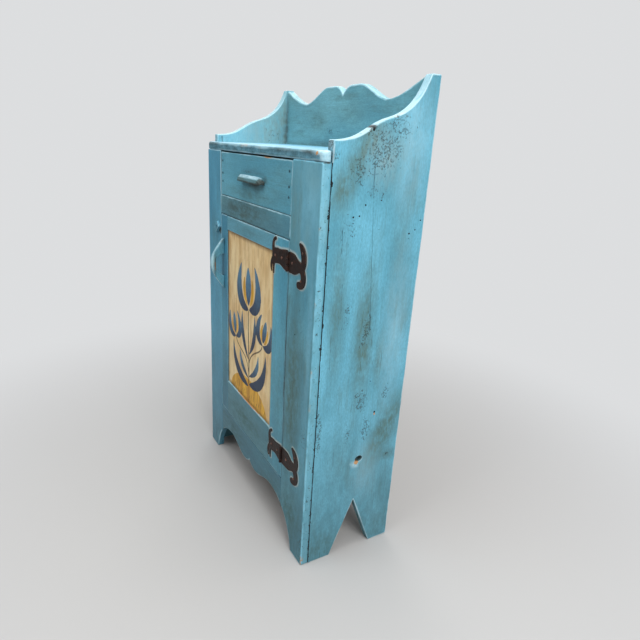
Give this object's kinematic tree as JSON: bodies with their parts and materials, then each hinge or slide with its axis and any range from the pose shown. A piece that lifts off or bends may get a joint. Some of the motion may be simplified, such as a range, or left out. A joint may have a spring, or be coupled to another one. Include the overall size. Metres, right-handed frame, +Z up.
{
  "type": "milk cupboard",
  "caption": "Tall narrow painted cupboard with a drawer over a panelled door, a scrolled gallery round its top and cut-out feet.",
  "frame": {"origin": "on the floor, midway between the side boards, and in depth midway between the front of the door handle and the back edges of the sides", "axes": "the door and the drawer face -Y, +X is to the right of someone who faces them, +Z is up"},
  "size_m": [0.678, 0.322, 1.2],
  "materials": {
    "blue_paint": "aged blue paint over wood, rubbed through at the edges",
    "panel_cream": "aged cream paint with a painted flower spray",
    "bare_wood": "bare old softwood",
    "wrought_iron": "dark rusty wrought iron",
    "screw_steel": "dull plain steel"
  },
  "bodies": {
    "carcass": {"side_left": "blue_paint", "side_right": "blue_paint", "stile_left": "blue_paint", "stile_right": "blue_paint", "drawer_rail": "blue_paint", "apron": "blue_paint", "top_board": "blue_paint", "gallery_back": "blue_paint", "back_plank_1": "bare_wood", "back_plank_2": "bare_wood", "back_plank_3": "bare_wood", "back_plank_4": "bare_wood", "bottom_shelf": "bare_wood", "middle_shelf": "bare_wood", "shelf_cleat_left": "bare_wood", "shelf_cleat_right": "bare_wood", "divider_board": "bare_wood", "drawer_guide_left": "bare_wood", "drawer_guide_right": "bare_wood", "upper_hinge_frame_leaf": "wrought_iron", "lower_hinge_frame_leaf": "wrought_iron", "upper_hinge_pin": "wrought_iron", "lower_hinge_pin": "wrought_iron", "frame_leaf_nails": "wrought_iron", "back_nails": "wrought_iron", "button_screw": "wrought_iron"},
    "door": {"door_stile_left": "blue_paint", "door_stile_right": "blue_paint", "door_rail_top": "blue_paint", "door_rail_bottom": "blue_paint", "door_panel": "panel_cream", "door_handle": "blue_paint", "handle_screws": "screw_steel", "upper_hinge_door_leaf": "wrought_iron", "lower_hinge_door_leaf": "wrought_iron", "door_leaf_nails": "wrought_iron"},
    "drawer": {"drawer_front": "blue_paint", "drawer_side_left": "bare_wood", "drawer_side_right": "bare_wood", "drawer_back": "bare_wood", "drawer_bottom": "bare_wood", "drawer_pull": "blue_paint", "pull_screws": "screw_steel", "drawer_nails": "wrought_iron"},
    "button": {"turn_button": "blue_paint"}
  },
  "joints": [
    {"name": "door_swing", "type": "hinge", "parent": "carcass", "child": "door", "pos_m": [0.2111, -0.1231, 0.5], "axis": [0, 0, 1], "range_deg": [0, 165]},
    {"name": "drawer_slide", "type": "slide", "parent": "carcass", "child": "drawer", "axis": [0, -1, 0], "range_m": [0, 0.19]},
    {"name": "button_turn", "type": "hinge", "parent": "carcass", "child": "button", "pos_m": [-0.2464, -0.1191, 0.8022], "axis": [0, -1, 0], "range_deg": [-40, 140]}
  ]
}
